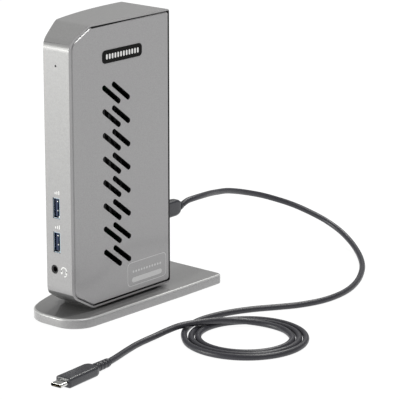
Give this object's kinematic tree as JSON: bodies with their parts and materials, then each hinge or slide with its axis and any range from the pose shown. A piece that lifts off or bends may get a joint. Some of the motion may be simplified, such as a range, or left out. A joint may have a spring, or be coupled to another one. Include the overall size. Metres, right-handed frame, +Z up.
{
  "type": "laptop docking station",
  "caption": "Upright wedge-shaped laptop docking station on a flat weighted stand, slotted side cover, front and rear sockets, and a plugged-in USB-C host cable lying in a flat coil.",
  "frame": {"origin": "centre of the stand's underside, on the surface it stands on", "axes": "+X towards the slotted side cover, +Y from the front face to the rear sockets, +Z up"},
  "size_m": [0.1919, 0.3503, 0.191],
  "materials": {
    "stand_paint": "fine matte metallic paint",
    "black_plastic": "matte moulded",
    "rubber_pads": "matte rubber",
    "steel_screws": "plated",
    "housing_plastic": "fine metallic paint, satin",
    "badge_plastic": null,
    "circuit_board": "solder mask",
    "chip_black": "moulded package",
    "thermal_pad": "soft pad",
    "heat_sink_black": "black anodised",
    "capacitor_can": "drawn can",
    "clear_plastic": "clear moulded",
    "connector_shell": "nickel-plated folded sheet",
    "blue_plastic": "moulded",
    "gold_contacts": "gold-plated",
    "cable_jacket": "satin jacket",
    "plug_moulding": "satin overmould"
  },
  "bodies": {
    "stand": {"base_plate": "stand_paint", "base_cradle": "black_plastic", "base_feet": "rubber_pads", "cradle_screws": "steel_screws"},
    "dock": {"main_housing": "housing_plastic", "side_cover": "housing_plastic", "rear_panel": "black_plastic", "cover_screws": "steel_screws", "side_feet": "rubber_pads", "badge": "badge_plastic", "main_board": "circuit_board", "board_screws": "steel_screws", "graphics_chip": "chip_black", "support_chips": "chip_black", "thermal_pad": "thermal_pad", "heat_sink": "heat_sink_black", "heat_sink_screws": "steel_screws", "power_inductors": "chip_black", "filter_capacitors": "capacitor_can", "status_led": "clear_plastic", "light_pipe": "clear_plastic", "front_usb_shell_upper": "connector_shell", "front_usb_shell_lower": "connector_shell", "front_usb_tongue_upper": "blue_plastic", "front_usb_tongue_lower": "blue_plastic", "headset_jack": "black_plastic", "power_jack": "black_plastic", "power_jack_pin": "gold_contacts", "host_port_shell": "connector_shell", "host_port_tongue": "black_plastic", "hdmi_shell_lower": "connector_shell", "hdmi_shell_upper": "connector_shell", "hdmi_tongue_lower": "black_plastic", "hdmi_tongue_upper": "black_plastic", "dp_shell_lower": "connector_shell", "dp_shell_upper": "connector_shell", "dp_tongue_lower": "black_plastic", "dp_tongue_upper": "black_plastic", "network_jack": "connector_shell", "network_contacts": "gold_contacts", "network_lights": "clear_plastic", "rear_usb_shell": "connector_shell", "rear_usb_tongues": "blue_plastic"},
    "cable": {"dock_plug_shell": "connector_shell", "dock_plug_body": "plug_moulding", "dock_plug_relief": "plug_moulding", "cable_lead": "cable_jacket", "cable_coil": "cable_jacket", "cable_tail": "cable_jacket", "host_plug_relief": "plug_moulding", "host_plug_body": "plug_moulding", "host_plug_shell": "connector_shell", "host_plug_core": "plug_moulding"}
  },
  "joints": [
    {"name": "dock_lift", "type": "slide", "parent": "stand", "child": "dock", "axis": [0, 0, 1], "range_m": [0, 0.012]},
    {"name": "plug_pull", "type": "slide", "parent": "dock", "child": "cable", "axis": [0, 1, 0], "range_m": [0, 0.01]}
  ]
}
